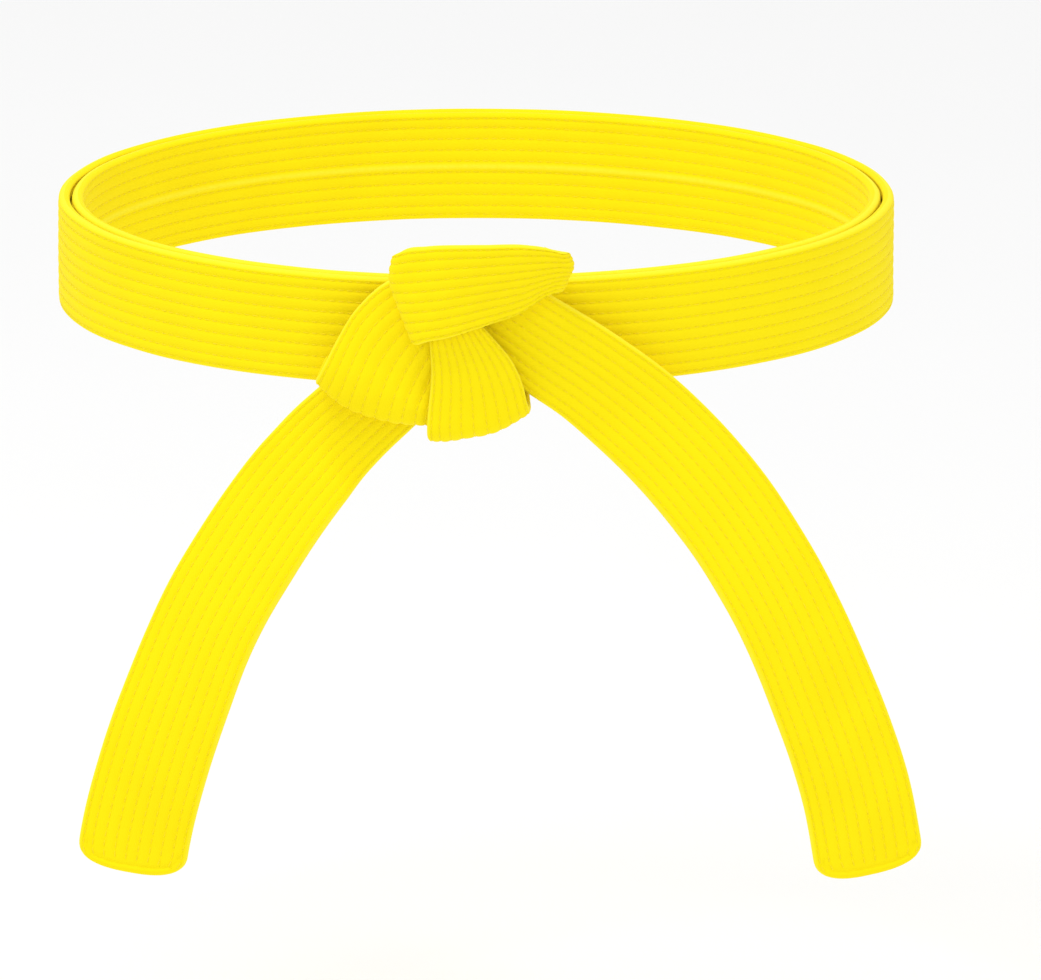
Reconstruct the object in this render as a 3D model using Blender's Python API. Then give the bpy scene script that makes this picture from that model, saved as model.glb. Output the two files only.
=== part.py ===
"""Martial arts belt: a stitched cotton strap wrapped twice into an oval waist loop, knotted at the
front, with both ends hanging. Metres, +Z up, the wearer's front towards -Y.

The origin is the centre of the waist loop at mid height of the band. The strap is a folded cotton
cover round a batting core. It is divided where the knot hides it, and the two hanging ends are
divided into links that hinge about the strap's width.
"""

import math

import bmesh
import bpy
from mathutils import Vector

MM = 0.001

# The strap
BELT_WIDTH = 40.0 * MM
BELT_THICKNESS = 4.5 * MM
COVER_WALL = 0.6 * MM
SELVAGE_WALL = 1.0 * MM
SEAM_SLIT = 0.3 * MM
GAP = 0.3 * MM
COVER_CHAMFER = 0.8 * MM
CORE_CHAMFER = 0.5 * MM

# The waist loop: half lengths of the outer face's oval, and half the split hidden behind the knot
LOOP_HALF_WIDTH = 151.3 * MM
LOOP_HALF_DEPTH = 121.4 * MM
LAP_SPLIT = 0.8 * MM
LAP_STATIONS = 48

# The knot. A depth is counted forwards from the loop's outer face. A fold is the radius of a wrap's
# turn, in mm like the wrap's rows.
LEFT_WRAP_FOLD = 2.4
TOP_LEFT_FOLD = 2.6
TOP_RIGHT_FOLD = 3.3
FOLD_STEPS = 4
NO_DROPS = (0.0, 0.0, 0.0, 0.0)
RIGHT_ROOT_DEPTH = 7.35 * MM
LEFT_ROOT_DEPTH = 2.45 * MM

# The hanging ends
TAIL_LINKS = 4
LINK_SETBACK = 1.3 * MM
HUG_RELEASE = 18.0 * MM
TIP_ROUNDING = 10.0 * MM
TIP_POWER = 2.6
TIP_WALL = 1.5 * MM

# How finely a strap is divided along its length
STATION_SPACING = 10.0 * MM
STATION_TURN = math.radians(32)
SAMPLES = 400

COTTON_YELLOW = (1.0, 0.86, 0.0, 1.0)
BATTING_CREAM = (0.86, 0.82, 0.70, 1.0)


def clear_scene():
    for item in list(bpy.data.objects):
        bpy.data.objects.remove(item)


# ---------------------------------------------------------------- smooth curves through a few points


def chord_knots(points):
    """Running chord length along a list of vectors."""
    knots = [0.0]
    for near, far in zip(points, points[1:]):
        knots.append(knots[-1] + (far - near).length)
    return knots


def slopes_at(knots, values):
    """Slope of the curve at each point, leaning to the nearer neighbour."""
    rates = [
        (values[i + 1] - values[i]) / (knots[i + 1] - knots[i])
        for i in range(len(values) - 1)
    ]
    slopes = [rates[0]]
    for i in range(1, len(rates)):
        before = knots[i] - knots[i - 1]
        after = knots[i + 1] - knots[i]
        slopes.append((rates[i - 1] * after + rates[i] * before) / (before + after))
    slopes.append(rates[-1])
    return slopes


def curve_at(knots, values, slopes, place):
    """Cubic curve through values at knots."""
    i = 0
    while i < len(knots) - 2 and place > knots[i + 1]:
        i += 1
    span = knots[i + 1] - knots[i]
    t = min(1.0, max(0.0, (place - knots[i]) / span))
    rise = values[i] * (2 * t**3 - 3 * t**2 + 1) + values[i + 1] * (3 * t**2 - 2 * t**3)
    lean = slopes[i] * (t**3 - 2 * t**2 + t) + slopes[i + 1] * (t**3 - t**2)
    return rise + lean * span


def smooth_step(t):
    t = min(1.0, max(0.0, t))
    return t * t * (3 - 2 * t)


# ---------------------------------------------------------------- places on and round the waist loop


def loop_normal(angle):
    """Outward normal of the loop's oval. Angle 0 is the front and a quarter turn is +X."""
    normal = Vector(
        (math.sin(angle) / LOOP_HALF_WIDTH, -math.cos(angle) / LOOP_HALF_DEPTH, 0.0)
    )
    return normal.normalized()


def loop_point(angle, depth, z):
    """A point at depth outside the loop's outer face."""
    on_face = Vector(
        (LOOP_HALF_WIDTH * math.sin(angle), -LOOP_HALF_DEPTH * math.cos(angle), z)
    )
    return on_face + loop_normal(angle) * depth


def front_point(x, depth, z):
    """The point at X = x and depth in front of the loop's outer face."""
    foot = x
    for _ in range(6):
        angle = math.asin(foot / LOOP_HALF_WIDTH)
        foot = x - depth * loop_normal(angle).x
    return loop_point(math.asin(foot / LOOP_HALF_WIDTH), depth, z)


# ---------------------------------------------------------------- surfaces: (t, w) to the strap's
# middle plane. t runs from 0 to 1 along the strap and w from -1 to 1 between its selvages.


def lap_surface(depth):
    """One lap of the strap round the waist, split at the front."""
    split = LAP_SPLIT / LOOP_HALF_WIDTH

    def surface(t, w):
        angle = split + t * (2 * math.pi - 2 * split)
        return loop_point(angle, depth, -w * BELT_WIDTH / 2)

    return surface


def net_surface(rows):
    """The strap through rows of (x, depth, z) points in mm, each row from one selvage to the other."""
    rows = [[Vector(p) for p in row] for row in rows]
    middles = [(row[1] + row[-2]) / 2 for row in rows]
    knots = chord_knots(middles)
    columns = [list(column) for column in zip(*rows)]
    leans = [slopes_at(knots, column) for column in columns]

    def surface(t, w):
        place = t * knots[-1]
        across = [curve_at(knots, c, s, place) for c, s in zip(columns, leans)]
        steps = list(range(len(across)))
        spot = (w + 1) / 2 * steps[-1]
        x, depth, z = curve_at(steps, across, slopes_at(steps, across), spot)
        return front_point(x * MM, depth * MM, z * MM)

    return surface


def fold_points(point, heading, radius, drop):
    """Points of a fold that starts at point, in mm. It carries on along heading, which is (x, z), and
    turns half way round, inwards and down by drop."""
    start = Vector(point)
    along = Vector((heading[0], 0.0, heading[1])).normalized()
    inwards = Vector((0.0, -1.0, 0.0))
    upwards = Vector((0.0, 0.0, 1.0))
    made = []
    for step in range(1, FOLD_STEPS + 1):
        angle = math.pi * step / FOLD_STEPS
        made.append(
            start
            + along * radius * math.sin(angle)
            + (inwards * radius - upwards * drop / 2) * (1 - math.cos(angle))
        )
    return made


def fold_back(row, headings, radius, runs, drops=NO_DROPS):
    """Rows that fold each point of a row back inwards, then run on straight for its run in mm."""
    arcs = [
        fold_points(point, heading, radius, drop)
        for point, heading, drop in zip(row, headings, drops)
    ]
    rows = [list(step) for step in zip(*arcs)]
    end = []
    for point, heading, run in zip(rows[-1], headings, runs):
        along = Vector((heading[0], 0.0, heading[1])).normalized()
        end.append(point - along * run)
    return rows + [end]


def straight_run(start, end, shares):
    """Points between start and end at these shares of the way."""
    return [start.lerp(end, share) for share in shares]


def rounded_path(corners, radii, steps, shares):
    """Points along straight runs between corners, with an arc of each radius at the inner corners.
    Each arc has steps + 1 points, and each straight run has points at shares of its length."""
    path = [corners[0]]
    for i, radius in enumerate(radii, start=1):
        here = corners[i]
        back = (corners[i - 1] - here).normalized()
        on = (corners[i + 1] - here).normalized()
        half = back.angle(on) / 2
        centre = here + (back + on).normalized() * radius / math.sin(half)
        start = here + back * radius / math.tan(half) - centre
        end = here + on * radius / math.tan(half) - centre
        path += straight_run(path[-1], centre + start, shares)
        for step in range(steps + 1):
            path.append(centre + start.slerp(end, step / steps).normalized() * radius)
    path += straight_run(path[-1], corners[-1], shares)
    path.append(corners[-1])
    return path


# The top wrap crosses the knot's front and folds back inwards at both ends. Each row goes from the lower
# selvage to the upper one, in mm as x, depth, z. The headings, drops and runs say how each point of an
# end row folds back.
TOP_WRAP_ROWS = (
    ((-18.3, 22.6, 3.0), (-22.6, 22.3, 14.2), (-26.3, 21.6, 25.4), (-25.6, 21.2, 36.8)),
    ((-11.4, 22.8, 4.6), (-14.2, 23.0, 15.4), (-16.5, 22.9, 26.9), (-17.0, 22.1, 38.6)),
    ((2.9, 21.9, 9.2), (2.9, 22.7, 18.9), (2.7, 22.9, 28.9), (2.5, 22.4, 39.3)),
    ((15.9, 18.8, 13.4), (16.6, 20.0, 21.2), (17.2, 20.4, 29.6), (17.6, 20.0, 38.5)),
    ((26.2, 16.0, 19.2), (28.2, 16.4, 24.3), (29.9, 16.4, 29.4), (28.6, 16.6, 35.2)),
)
TOP_LEFT_HEADINGS = ((-0.9, -0.45), (-1.0, -0.1), (-1.0, -0.1), (-0.88, -0.47))
TOP_LEFT_DROPS = (0.0, 0.0, 1.0, 3.0)
TOP_RIGHT_HEADINGS = ((0.95, 0.1), (1.0, 0.05), (1.0, -0.1), (0.92, -0.38))
TOP_RIGHT_DROPS = (0.0, 0.3, 1.0, 2.1)
TOP_LEFT_RUNS = (0.6, 3.0, 4.5, 4.0)
TOP_RIGHT_RUNS = (2.2, 3.0, 4.0, 4.0)


def top_wrap_surface():
    first = TOP_WRAP_ROWS[0]
    final = TOP_WRAP_ROWS[-1]
    left = fold_back(
        first, TOP_LEFT_HEADINGS, TOP_LEFT_FOLD, TOP_LEFT_RUNS, TOP_LEFT_DROPS
    )
    right = fold_back(
        final, TOP_RIGHT_HEADINGS, TOP_RIGHT_FOLD, TOP_RIGHT_RUNS, TOP_RIGHT_DROPS
    )
    rows = left[::-1] + list(TOP_WRAP_ROWS) + right
    return net_surface([row[::-1] for row in rows])


# The left wrap leaves the knot under the top wrap, runs down to the left, and folds under along its
# bottom edge. Each row goes from the selvage next to the knot's middle to the outer selvage.
LEFT_WRAP_ROWS = (
    ((-1.0, 11.2, 1.4), (-1.0, 11.4, 9.3), (-1.0, 11.4, 16.9), (-1.0, 10.8, 24.2)),
    ((-7.0, 11.5, -3.0), (-11.0, 11.8, 7.0), (-14.0, 11.8, 16.0), (-16.5, 11.0, 24.6)),
    ((-10.5, 11.7, -11.0), (-19.0, 12.3, -1.5), (-25.5, 12.0, 10.5), (-30.3, 10.0, 22.6)),
    ((-13.0, 11.7, -19.5), (-25.0, 12.6, -11.0), (-35.5, 12.3, 0.0), (-42.3, 9.4, 11.4)),
    ((-15.6, 12.2, -27.0), (-30.2, 12.55, -25.8), (-44.8, 12.6, -21.6), (-55.9, 12.4, -13.2)),
)
LEFT_FOLD_HEADINGS = ((-0.1, -1.0), (-0.2, -1.0), (-0.3, -1.0), (-0.45, -1.0))
LEFT_FOLD_RUNS = (6.0, 6.0, 6.0, 6.0)


def left_wrap_surface():
    final = LEFT_WRAP_ROWS[-1]
    fold = fold_back(final, LEFT_FOLD_HEADINGS, LEFT_WRAP_FOLD, LEFT_FOLD_RUNS)
    return net_surface(list(LEFT_WRAP_ROWS) + fold)


# The lower wrap goes right round the waist loop. For each of four lines along the strap: its depth at
# its start and in front, the height of its bottom turn, and its x at its start, half way down the
# front and at the other corners of its path.
LOWER_WRAP_LINES = (
    {
        "start": 17.6,
        "depth": 17.6,
        "bottom": -33.4,
        "x": (-17.0, -15.9, -17.4, -15.5, -13.0, -12.5, -13.0, -13.0),
    },
    {
        "start": 17.6,
        "depth": 17.5,
        "bottom": -32.5,
        "x": (-10.6, -5.9, -5.5, -4.0, -3.0, -2.5, -3.5, -5.0),
    },
    {
        "start": 17.2,
        "depth": 16.5,
        "bottom": -29.2,
        "x": (-4.4, 4.2, 8.6, 9.0, 8.0, 7.5, 6.5, 4.0),
    },
    {
        "start": 16.4,
        "depth": 13.8,
        "bottom": -23.5,
        "x": (1.4, 13.2, 18.6, 19.5, 19.0, 17.5, 15.0, 11.0),
    },
)
LOWER_WRAP_TOP = 29.5
LOWER_WRAP_BACK = -12.4
LOWER_WRAP_SAG = 2.2
LOWER_WRAP_RADII = (3.2, 7.0, 4.0, 4.5, 4.0)
LOWER_WRAP_ENDS = (9.0, 12.0)
RUN_SHARES = (0.15, 0.5, 0.85)


def lower_wrap_line(line):
    """One line of the lower wrap, from under the top wrap, down, round the loop and up to it again."""
    depth = line["depth"]
    bottom = line["bottom"]
    corners = [
        Vector((line["start"], LOWER_WRAP_ENDS[0])),
        Vector((depth, bottom)),
        Vector((2.0, bottom - LOWER_WRAP_SAG)),
        Vector((LOWER_WRAP_BACK, -22.5)),
        Vector((LOWER_WRAP_BACK, 22.5)),
        Vector((depth, LOWER_WRAP_TOP)),
        Vector((depth, LOWER_WRAP_ENDS[1])),
    ]
    path = rounded_path(corners, LOWER_WRAP_RADII, FOLD_STEPS, RUN_SHARES)
    lengths = chord_knots(path)
    run = len(RUN_SHARES)
    marks = [0.0, lengths[1 + run // 2]]
    for i in range(len(LOWER_WRAP_RADII)):
        marks.append(lengths[1 + run + i * (FOLD_STEPS + 1 + run) + FOLD_STEPS // 2])
    marks.append(lengths[-1])
    slopes = slopes_at(marks, line["x"])
    return [
        (curve_at(marks, line["x"], slopes, length), p.x, p.y)
        for p, length in zip(path, lengths)
    ]


def lower_wrap_surface():
    lines = [lower_wrap_line(line) for line in reversed(LOWER_WRAP_LINES)]
    return net_surface([list(row) for row in zip(*lines)])


# A hanging end from its hidden start in the knot to its tip. Each stop is x, y, z and the strap's
# width in mm, and the tilt in degrees that turns its outer selvage back.
RIGHT_TAIL_STOPS = (
    (6.0, -128.7, 10.5, 32.5, 0.0),
    (11.5, -128.4, 6.6, 33.0, 0.0),
    (23.3, -127.3, -1.9, 34.5, 0.0),
    (42.8, -124.6, -15.9, 35.6, 6.0),
    (64.1, -123.6, -34.6, 38.0, 21.0),
    (88.4, -126.0, -62.2, 40.0, 28.0),
    (108.5, -131.0, -93.8, 40.0, 27.0),
    (124.0, -135.5, -128.0, 40.0, 22.0),
    (136.6, -138.5, -164.8, 40.0, 14.0),
    (142.4, -139.5, -196.4, 40.0, 10.0),
)
LEFT_TAIL_STOPS = (
    (-17.0, -123.1, -4.5, 32.0, 0.0),
    (-31.0, -121.3, -19.3, 33.0, 0.0),
    (-46.3, -118.5, -34.8, 33.6, 4.0),
    (-65.1, -120.5, -55.9, 38.0, 24.0),
    (-81.5, -124.5, -79.2, 40.0, 28.0),
    (-95.8, -130.0, -103.4, 40.0, 26.0),
    (-106.5, -134.0, -129.1, 40.0, 20.0),
    (-116.3, -137.0, -157.7, 40.0, 13.0),
    (-122.8, -138.5, -184.5, 40.0, 10.0),
    (-124.4, -139.0, -195.8, 40.0, 9.0),
)
RIGHT_FIRST_JOINT = 29.7 * MM
LEFT_FIRST_JOINT = 45.5 * MM


class Tail:
    """A hanging end: the line it follows, its width and tilt, and its joints' places along it."""

    def __init__(self, stops, side, depth, first_joint):
        self.side = side
        self.depth = depth
        self.first_joint = first_joint
        self.points = [Vector(stop[:3]) * MM for stop in stops]
        self.knots = chord_knots(self.points)
        self.slopes = slopes_at(self.knots, self.points)
        self.widths = [stop[3] * MM for stop in stops]
        self.width_slopes = slopes_at(self.knots, self.widths)
        self.tilts = [math.radians(stop[4]) for stop in stops]
        self.tilt_slopes = slopes_at(self.knots, self.tilts)
        self.length = self.knots[-1]
        run = (self.length - first_joint) / TAIL_LINKS
        self.joints = [first_joint + run * k for k in range(TAIL_LINKS)]

    def centre(self, place):
        return curve_at(self.knots, self.points, self.slopes, place)

    def heading(self, place):
        """Unit direction of the line at a place."""
        step = 0.5 * MM
        low = max(0.0, place - step)
        high = min(self.length, place + step)
        return (self.centre(high) - self.centre(low)).normalized()

    def across(self, place):
        """Unit direction from the inner selvage to the outer one."""
        heading = self.heading(place)
        tilt = curve_at(self.knots, self.tilts, self.tilt_slopes, place)
        level = heading.cross(Vector((0.0, self.side, 0.0))).normalized()
        back = level.cross(heading).normalized() * self.side
        return level * math.cos(tilt) + back * math.sin(tilt)

    def half_width(self, place):
        """Half the strap's width, rounded off at the tip."""
        width = curve_at(self.knots, self.widths, self.width_slopes, place)
        from_tip = min(1.0, max(0.0, (self.length - place) / TIP_ROUNDING))
        rounding = (1 - (1 - from_tip) ** TIP_POWER) ** (1 / TIP_POWER)
        return width / 2 * rounding

    def point(self, place, w):
        """A point of the middle plane. Near the knot it follows the waist loop's curve."""
        flat = self.centre(place) + self.across(place) * self.half_width(place) * w
        hug = 1 - smooth_step((place - self.first_joint) / HUG_RELEASE)
        if hug == 0.0:
            return flat
        return flat.lerp(front_point(flat.x, self.depth, flat.z), hug)

    def surface(self, start, end):
        """The stretch between two places along the tail."""

        def surface(t, w):
            return self.point(start + (end - start) * t, -w * self.side)

        return surface


# ---------------------------------------------------------------- solids swept along a surface


def strap_normal(surface, t, w):
    """The strap's outward normal, from its surface's slopes."""
    step = 0.0005
    low_t = max(0.0, t - step)
    high_t = min(1.0, t + step)
    along = surface(high_t, w) - surface(low_t, w)
    side = surface(t, min(1.0, w + 0.05)) - surface(t, max(-1.0, w - 0.05))
    return side.cross(along).normalized()


def station_list(surface, spacing, turn):
    """Values of t that put stations closer where the strap bends."""
    points = [surface(i / SAMPLES, 0.0) for i in range(SAMPLES + 1)]
    cost = [0.0]
    for i in range(SAMPLES):
        bend = 0.0
        if i > 0:
            bend = (points[i + 1] - points[i]).angle(points[i] - points[i - 1])
        cost.append(cost[-1] + (points[i + 1] - points[i]).length / spacing + bend / turn)
    count = max(2, round(cost[-1]))
    stations = []
    i = 0
    for k in range(count + 1):
        target = cost[-1] * k / count
        while i < SAMPLES - 1 and cost[i + 1] < target:
            i += 1
        part = (target - cost[i]) / (cost[i + 1] - cost[i])
        stations.append((i + min(1.0, part)) / SAMPLES)
    return stations


def face_fractions(curved):
    """Where the strap's faces get extra points between their selvages."""
    return (0.6, 0.2, -0.2, -0.6) if curved else ()


def cover_section(curved):
    """Outer and inner outlines of the cover as (fraction across, shift, offset): both run from one lip
    of the back seam round to the other lip."""
    half = BELT_THICKNESS / 2
    room = half - COVER_WALL
    lip = SEAM_SLIT / 2
    chamfer = COVER_CHAMFER
    wall = SELVAGE_WALL
    fractions = face_fractions(curved)
    right_back = [(f, 0.0) for f in reversed(fractions) if f > 0]
    left_back = [(f, 0.0) for f in reversed(fractions) if f < 0]
    outer = [(0.0, lip, -half)]
    outer += [(f, s, -half) for f, s in right_back]
    outer += [(1.0, -chamfer, -half), (1.0, 0.0, chamfer - half)]
    outer += [(1.0, 0.0, half - chamfer), (1.0, -chamfer, half)]
    outer += [(f, 0.0, half) for f in fractions]
    outer += [(-1.0, chamfer, half), (-1.0, 0.0, half - chamfer)]
    outer += [(-1.0, 0.0, chamfer - half), (-1.0, chamfer, -half)]
    outer += [(f, s, -half) for f, s in left_back]
    outer += [(0.0, -lip, -half)]
    inner = [(0.0, lip, -room)]
    inner += [(f, s, -room) for f, s in right_back]
    inner += [(1.0, -wall, -room), (1.0, -wall, room)]
    inner += [(f, 0.0, room) for f in fractions]
    inner += [(-1.0, wall, room), (-1.0, wall, -room)]
    inner += [(f, s, -room) for f, s in left_back]
    inner += [(0.0, -lip, -room)]
    return outer, inner


def core_section(curved):
    """Outline of the batting core inside the cover."""
    half = BELT_THICKNESS / 2 - COVER_WALL - GAP
    inset = SELVAGE_WALL + GAP
    chamfer = CORE_CHAMFER
    fractions = face_fractions(curved)
    outline = [(f, 0.0, -half) for f in reversed(fractions)]
    outline += [(1.0, -inset - chamfer, -half), (1.0, -inset, chamfer - half)]
    outline += [(1.0, -inset, half - chamfer), (1.0, -inset - chamfer, half)]
    outline += [(f, 0.0, half) for f in fractions]
    outline += [(-1.0, inset + chamfer, half), (-1.0, inset, half - chamfer)]
    outline += [(-1.0, inset, chamfer - half), (-1.0, inset + chamfer, -half)]
    return outline


def ring_points(surface, t, outline):
    """An outline's points in place at one station."""
    half_width = (surface(t, 1.0) - surface(t, -1.0)).length / 2
    points = []
    for fraction, shift, offset in outline:
        w = fraction + shift / half_width
        points.append(surface(t, w) + strap_normal(surface, t, w) * offset)
    return points


def add_ring(mesh, points, origin):
    return [mesh.verts.new(point - origin) for point in points]


def bridge(mesh, ring_a, ring_b, turned=None):
    """Triangles between two closed rings of the same size. Rings' points from index turned on run the
    other way round the strap, so their diagonals are mirrored to match the layer next to them."""
    count = len(ring_a)
    for i in range(count):
        j = (i + 1) % count
        if turned is None or i < turned:
            mesh.faces.new((ring_a[i], ring_a[j], ring_b[j]))
            mesh.faces.new((ring_a[i], ring_b[j], ring_b[i]))
        else:
            mesh.faces.new((ring_a[i], ring_a[j], ring_b[i]))
            mesh.faces.new((ring_a[j], ring_b[j], ring_b[i]))


def finish_object(name, mesh, material, origin, parent):
    """Turns a bmesh into a named object at origin, under parent."""
    bmesh.ops.recalc_face_normals(mesh, faces=mesh.faces[:])
    bmesh.ops.triangulate(mesh, faces=mesh.faces[:])
    if mesh.calc_volume(signed=True) < 0:
        bmesh.ops.reverse_faces(mesh, faces=mesh.faces[:])
    data = bpy.data.meshes.new(name)
    mesh.to_mesh(data)
    mesh.free()
    data.materials.append(material)
    data.shade_smooth()
    data.set_sharp_from_angle(angle=math.radians(35))
    item = bpy.data.objects.new(name, data)
    bpy.context.scene.collection.objects.link(item)
    item.parent = parent
    item.location = origin if parent is None else (0.0, 0.0, 0.0)
    return item


def make_cover(name, surface, stations, curved, material, origin, parent, tip_from=None):
    """The folded cover: a C-shaped wall, open along its back seam and at its ends. With tip_from, the
    stations from there on are solid, so that end is closed."""
    outer, inner = cover_section(curved)
    mesh = bmesh.new()
    last = None
    for index, t in enumerate(stations):
        outer_ring = add_ring(mesh, ring_points(surface, t, outer), origin)
        if tip_from is not None and index > tip_from:
            bridge(mesh, last[0], outer_ring)
            last = (outer_ring, None)
            continue
        inner_ring = add_ring(mesh, ring_points(surface, t, inner), origin)
        whole = outer_ring + inner_ring[::-1]
        if last is None:
            mesh.faces.new(whole)
        else:
            bridge(mesh, last[0] + last[1][::-1], whole, len(outer))
        if index == tip_from:
            mesh.faces.new([outer_ring[-1]] + inner_ring[::-1] + [outer_ring[0]])
        last = (outer_ring, inner_ring)
    if tip_from is None:
        mesh.faces.new(last[0] + last[1][::-1])
    else:
        mesh.faces.new(last[0])
    return finish_object(name, mesh, material, origin, parent)


def make_core(name, surface, stations, curved, material, origin, parent):
    """The batting: a solid strip inside the cover."""
    outline = core_section(curved)
    mesh = bmesh.new()
    rings = [add_ring(mesh, ring_points(surface, t, outline), origin) for t in stations]
    mesh.faces.new(rings[0])
    for ring_a, ring_b in zip(rings, rings[1:]):
        bridge(mesh, ring_a, ring_b)
    mesh.faces.new(rings[-1])
    return finish_object(name, mesh, material, origin, parent)


def make_stretch(name, surface, stations, curved, materials):
    """A cover and its core for one stretch of the strap that doesn't move."""
    origin = Vector((0.0, 0.0, 0.0))
    make_cover(name + "_cover", surface, stations, curved, materials["cover"], origin, None)
    make_core(name + "_core", surface, stations, curved, materials["core"], origin, None)


# ---------------------------------------------------------------- materials


def cloth_material(name, colour, roughness):
    material = bpy.data.materials.new(name)
    material.use_nodes = True
    shader = material.node_tree.nodes["Principled BSDF"]
    shader.inputs["Base Color"].default_value = colour
    shader.inputs["Roughness"].default_value = roughness
    shader.inputs["Metallic"].default_value = 0.0
    return material


def cotton_cover_material():
    return cloth_material("cotton_cover", COTTON_YELLOW, 0.85)


def cotton_batting_material():
    return cloth_material("cotton_batting", BATTING_CREAM, 0.95)


# ---------------------------------------------------------------- sub-parts


def build_laps(materials):
    """The two laps round the waist, one inside the other."""
    stations = [i / LAP_STATIONS for i in range(LAP_STATIONS + 1)]
    outer_depth = -BELT_THICKNESS / 2
    inner_depth = outer_depth - BELT_THICKNESS - GAP
    make_stretch("outer_lap", lap_surface(outer_depth), stations, False, materials)
    make_stretch("inner_lap", lap_surface(inner_depth), stations, False, materials)


def build_knot(materials):
    """The three wraps of the knot."""
    for name, surface in (
        ("knot_top_wrap", top_wrap_surface()),
        ("knot_left_wrap", left_wrap_surface()),
        ("knot_lower_wrap", lower_wrap_surface()),
    ):
        stations = station_list(surface, STATION_SPACING, STATION_TURN)
        make_stretch(name, surface, stations, True, materials)


def tip_stations(length):
    """Stations near a tip, closing in on it, and the index of the last hollow one."""
    marks = (TIP_ROUNDING, 6.0 * MM, 3.4 * MM, TIP_WALL)
    solid_marks = (0.7 * MM, 0.2 * MM, 0.02 * MM)
    hollow = [1 - mark / length for mark in marks]
    solid = [1 - mark / length for mark in solid_marks]
    return hollow, solid


def build_root(name, tail, materials):
    """The stretch of a hanging end that is held in the knot."""
    surface = tail.surface(0.0, tail.joints[0] - LINK_SETBACK)
    stations = station_list(surface, STATION_SPACING, STATION_TURN)
    make_stretch(name, surface, stations, True, materials)


def build_link(name, tail, index, parent, materials):
    """One hinged link of a hanging end, with its origin on its joint."""
    start = tail.joints[index] + LINK_SETBACK
    last = index == TAIL_LINKS - 1
    end = tail.length if last else tail.joints[index + 1] - LINK_SETBACK
    surface = tail.surface(start, end)
    stations = station_list(surface, STATION_SPACING, STATION_TURN)
    curved = index == 0
    origin = tail.centre(tail.joints[index])
    tip_from = None
    core_stations = stations
    if last:
        hollow, solid = tip_stations(end - start)
        stations = [t for t in stations if t < hollow[0] - 0.03] + hollow
        core_stations = stations[:-1] + [hollow[-1] - GAP / (end - start)]
        tip_from = len(stations) - 1
        stations = stations + solid
    make_cover(
        name + "_cover", surface, stations, curved, materials["cover"], origin, parent, tip_from
    )
    make_core(name + "_core", surface, core_stations, curved, materials["core"], origin, parent)


def build_tail(name, tail, materials):
    """The held root and the chain of hinged links."""
    build_root(name + "_root", tail, materials)
    parent = None
    at = Vector((0.0, 0.0, 0.0))
    for index in range(TAIL_LINKS):
        link = f"{name}_{index + 1}"
        pivot = bpy.data.objects.new(link + "_pivot", None)
        bpy.context.scene.collection.objects.link(pivot)
        pivot.parent = parent
        place = tail.centre(tail.joints[index])
        pivot.location = place - at
        build_link(link, tail, index, pivot, materials)
        parent = pivot
        at = place


def right_tail():
    return Tail(RIGHT_TAIL_STOPS, 1, RIGHT_ROOT_DEPTH, RIGHT_FIRST_JOINT)


def left_tail():
    return Tail(LEFT_TAIL_STOPS, -1, LEFT_ROOT_DEPTH, LEFT_FIRST_JOINT)


def build():
    clear_scene()
    materials = {"cover": cotton_cover_material(), "core": cotton_batting_material()}
    build_laps(materials)
    build_knot(materials)
    build_tail("right_tail", right_tail(), materials)
    build_tail("left_tail", left_tail(), materials)
    bpy.context.view_layer.update()


build()
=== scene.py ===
"""Martial arts belt: a stitched cotton strap wrapped twice into an oval waist loop, knotted at the
front, with both ends hanging. The strap's stretches follow the same lines as the CAD model, and
this script adds its quilted rows, its stitches, its back seam and its cloth.
"""

import math

import bpy
import numpy as np
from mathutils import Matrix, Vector


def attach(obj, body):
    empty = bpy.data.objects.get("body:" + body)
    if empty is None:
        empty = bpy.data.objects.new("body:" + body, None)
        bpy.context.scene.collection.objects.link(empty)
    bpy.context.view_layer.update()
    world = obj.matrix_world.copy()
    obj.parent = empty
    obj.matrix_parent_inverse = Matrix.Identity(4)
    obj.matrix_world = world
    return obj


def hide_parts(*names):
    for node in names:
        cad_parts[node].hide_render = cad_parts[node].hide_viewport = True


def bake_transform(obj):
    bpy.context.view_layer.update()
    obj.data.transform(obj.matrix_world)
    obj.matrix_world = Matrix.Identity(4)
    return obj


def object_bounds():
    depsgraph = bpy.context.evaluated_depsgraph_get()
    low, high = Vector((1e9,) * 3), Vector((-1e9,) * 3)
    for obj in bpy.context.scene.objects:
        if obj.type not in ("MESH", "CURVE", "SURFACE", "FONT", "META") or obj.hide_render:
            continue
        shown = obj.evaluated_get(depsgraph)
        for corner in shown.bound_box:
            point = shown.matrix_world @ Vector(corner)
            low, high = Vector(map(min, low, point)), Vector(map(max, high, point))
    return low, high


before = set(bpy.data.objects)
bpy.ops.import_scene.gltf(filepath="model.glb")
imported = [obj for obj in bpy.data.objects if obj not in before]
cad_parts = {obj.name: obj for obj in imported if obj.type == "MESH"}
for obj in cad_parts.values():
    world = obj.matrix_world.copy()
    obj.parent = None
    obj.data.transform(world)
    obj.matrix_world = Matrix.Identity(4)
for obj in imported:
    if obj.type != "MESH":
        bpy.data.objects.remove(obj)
CAD_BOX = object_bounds()

MM = 0.001  # every length below is in mm unless it says otherwise

# The strap
BELT_WIDTH = 40.0
BELT_THICKNESS = 4.5
HALF_WIDTH = BELT_WIDTH / 2
HALF_THICKNESS = BELT_THICKNESS / 2
GAP = 0.3

# The waist loop: half lengths of the outer face's oval, and half the split hidden behind the knot
LOOP_HALF_WIDTH = 151.3
LOOP_HALF_DEPTH = 121.4
LAP_SPLIT = 0.8

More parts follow.
